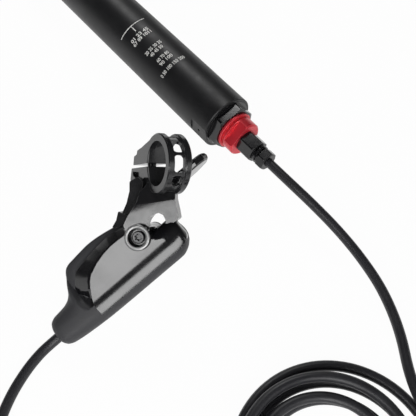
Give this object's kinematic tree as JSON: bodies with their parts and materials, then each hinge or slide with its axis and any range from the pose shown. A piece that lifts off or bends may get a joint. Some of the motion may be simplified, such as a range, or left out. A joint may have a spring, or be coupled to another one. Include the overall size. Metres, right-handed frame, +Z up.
{
  "type": "dropper seatpost",
  "caption": "Telescopic bicycle seatpost with a rail clamp head, hydraulic foot fittings, a coiled hose and a thumb remote on a handlebar clamp.",
  "frame": {"origin": "on the post's axis at the lower tube's foot end", "axes": "+X along the post towards its foot and the hose, +Y across the saddle rails' line, +Z up from the surface that the post lies on"},
  "size_m": [0.5784, 0.225, 0.0757],
  "materials": {
    "satin_black_anodised": "satin",
    "gloss_black_anodised": "gloss",
    "grey_machined": "satin",
    "red_anodised": "satin",
    "black_steel": "satin",
    "bright_steel": "polished",
    "black_rubber": "matte",
    "black_hose": "satin",
    "bronze_bush": "satin",
    "white_plastic": "matte"
  },
  "bodies": {
    "post": {"lower_tube": "satin_black_anodised", "collar": "satin_black_anodised", "wiper_seal": "black_rubber", "upper_bushing": "white_plastic", "guide_keys": "bronze_bush", "inner_shaft": "bright_steel", "main_piston": "bright_steel", "piston_seal": "black_rubber", "foot_nut": "gloss_black_anodised", "adapter_seal": "black_rubber", "hose_adapter": "red_anodised", "hose_coupling": "gloss_black_anodised", "hose_nut": "black_steel", "hose_barb": "bright_steel", "hose_post_lead": "black_hose", "hose_coil": "black_hose", "hose_remote_lead": "black_hose", "remote_body": "gloss_black_anodised", "reservoir_bladder": "black_rubber", "reservoir_cover": "gloss_black_anodised", "cover_screws": "black_steel", "bleed_screw": "bright_steel", "end_cap": "gloss_black_anodised", "hose_boot": "black_rubber", "remote_hose_nut": "bright_steel", "bar_clamp": "grey_machined", "clamp_bolt": "black_steel", "pivot_bolt": "black_steel", "pivot_nut": "black_steel"},
    "stanchion": {"stanchion": "satin_black_anodised", "lower_bush": "white_plastic", "shaft_gland": "bright_steel", "gland_seal": "black_rubber", "seat_head": "satin_black_anodised", "air_valve": "black_steel", "valve_core": "bright_steel"},
    "float": {"floating_piston": "bright_steel", "floating_seal": "black_rubber"},
    "rail_clamp": {"lower_cradle": "gloss_black_anodised", "upper_cradle": "gloss_black_anodised", "cradle_bolts": "black_steel", "barrel_nuts": "black_steel"},
    "lever": {"lever": "gloss_black_anodised", "lever_bush": "bronze_bush", "cam_pin": "bright_steel"},
    "master": {"pushrod": "bright_steel", "master_piston": "bright_steel", "master_seal": "black_rubber"},
    "valve": {"valve_rod": "bright_steel", "slave_piston": "bright_steel"}
  },
  "joints": [
    {"name": "post_travel", "type": "slide", "parent": "post", "child": "stanchion", "axis": [1, 0, 0], "range_m": [0, 0.125]},
    {"name": "floating_piston_slide", "type": "slide", "parent": "stanchion", "child": "float", "axis": [-1, 0, 0], "range_m": [0, 0.0185]},
    {"name": "saddle_tilt", "type": "hinge", "parent": "stanchion", "child": "rail_clamp", "pos_m": [-0.351, 0, 0], "axis": [0, 1, 0], "range_deg": [-10, 10]},
    {"name": "lever_press", "type": "hinge", "parent": "post", "child": "lever", "pos_m": [0.0401, -0.0863, 0.0256], "axis": [0.3384, -0.4688, 0.8159], "range_deg": [0, 20], "stiffness_Nm_per_rad": 0.3, "springref_deg": -11.46},
    {"name": "master_slide", "type": "slide", "parent": "post", "child": "master", "axis": [0.1086, 0.8807, 0.461], "range_m": [0, 0.0037]},
    {"name": "valve_slide", "type": "slide", "parent": "post", "child": "valve", "axis": [-1, 0, 0], "range_m": [0, 0.0026]}
  ],
  "couplings": [
    {"joint": "floating_piston_slide", "follows": "post_travel", "ratio": 0.1451},
    {"joint": "master_slide", "follows": "lever_press", "m_per_rad": 0.0102},
    {"joint": "valve_slide", "follows": "lever_press", "m_per_rad": 0.00716}
  ]
}
